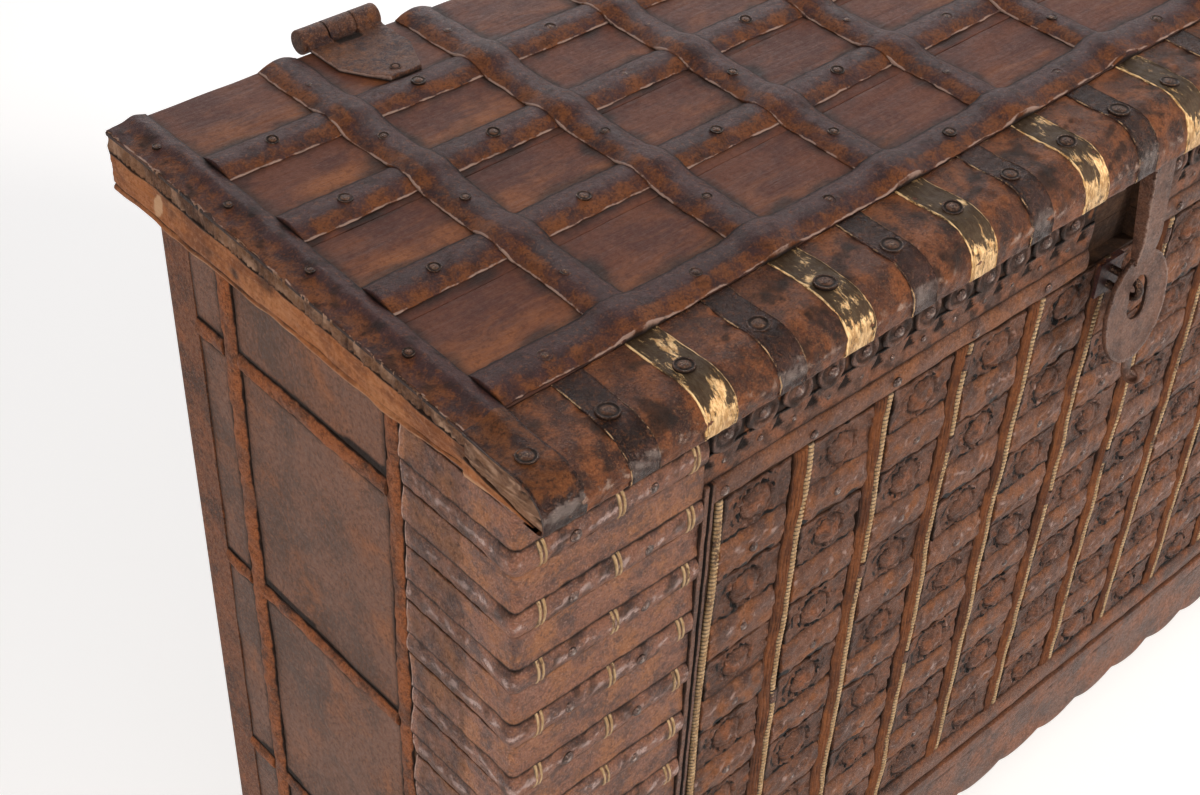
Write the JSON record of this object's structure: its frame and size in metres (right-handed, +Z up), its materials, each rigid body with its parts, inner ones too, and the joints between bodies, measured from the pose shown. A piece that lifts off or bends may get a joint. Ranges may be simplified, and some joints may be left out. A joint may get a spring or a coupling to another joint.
{
  "type": "dowry chest",
  "caption": "Tall wooden chest on short legs, dressed in sheet iron and brass, with a strap-bound lid that hinges at the back and a hasp that hangs over a staple.",
  "frame": {"origin": "on the floor under the middle of the bounding box", "axes": "+X along the chest's length, the front faces -Y, +Z up"},
  "size_m": [1.49, 0.5762, 1.0555],
  "materials": {
    "case_wood": "old hardwood, dry and darkened, with worn arrises",
    "lid_wood": "old hardwood planks with a dull handled sheen",
    "batten_wood": "reeded hardwood slips, rust stained",
    "sheet_iron": "embossed sheet iron, brown with age and rust at the edges",
    "forged_iron": "forged iron with a dark handled sheen and rust in the low places",
    "nail_iron": "hand-made domed heads, rubbed bright on the crowns",
    "brass": "aged brass, rubbed bright on the edges with brown patina"
  },
  "bodies": {
    "case": {"corner_post_front_left": "case_wood", "corner_post_front_right": "case_wood", "corner_post_back_left": "case_wood", "corner_post_back_right": "case_wood", "front_boards": "case_wood", "back_boards": "case_wood", "left_boards": "case_wood", "right_boards": "case_wood", "floor_boards": "case_wood", "top_rail_front": "case_wood", "top_rail_back": "case_wood", "top_rails_side": "case_wood", "sill_front": "case_wood", "sill_back": "case_wood", "sills_side": "case_wood", "corner_bands_right": "sheet_iron", "corner_bands_left": "sheet_iron", "corner_mouldings_right": "sheet_iron", "corner_mouldings_left": "sheet_iron", "corner_clips": "brass", "corner_nails": "nail_iron", "frieze_strip": "sheet_iron", "frieze_nails": "nail_iron", "border_strap": "sheet_iron", "edge_bars": "sheet_iron", "embossed_squares": "sheet_iron", "cross_bands": "sheet_iron", "battens": "batten_wood", "bead_strips": "brass", "panel_nails": "nail_iron", "apron_moulding": "sheet_iron", "apron_board": "case_wood", "side_sheets_right": "sheet_iron", "side_sheets_left": "sheet_iron", "side_straps_right": "sheet_iron", "side_straps_left": "sheet_iron", "back_corner_sheaths": "sheet_iron", "staple": "forged_iron", "staple_plate": "forged_iron", "hinge_leaves_lower": "forged_iron", "hinge_pins": "forged_iron", "hinge_nails": "nail_iron"},
    "lid": {"lid_boards": "lid_wood", "end_rail_left": "lid_wood", "end_rail_right": "lid_wood", "end_fascias": "lid_wood", "nose_rail": "lid_wood", "back_rail": "lid_wood", "cross_straps": "forged_iron", "long_straps": "forged_iron", "edge_straps": "forged_iron", "nose_plates": "sheet_iron", "nose_straps_brass": "brass", "nose_straps_iron": "forged_iron", "strap_nails": "nail_iron", "nose_nails": "nail_iron", "hinge_leaves_upper": "forged_iron", "hasp_bracket": "forged_iron", "hasp_pin": "forged_iron"},
    "hasp": {"hasp": "forged_iron"}
  },
  "joints": [
    {"name": "lid_hinge", "type": "hinge", "parent": "case", "child": "lid", "pos_m": [0, 0.27711, 1.0445], "axis": [-1, 0, 0], "range_deg": [0, 95]},
    {"name": "hasp_hinge", "type": "hinge", "parent": "lid", "child": "hasp", "pos_m": [0, -0.24189, 0.971], "axis": [-1, 0, 0], "range_deg": [0, 88]}
  ]
}
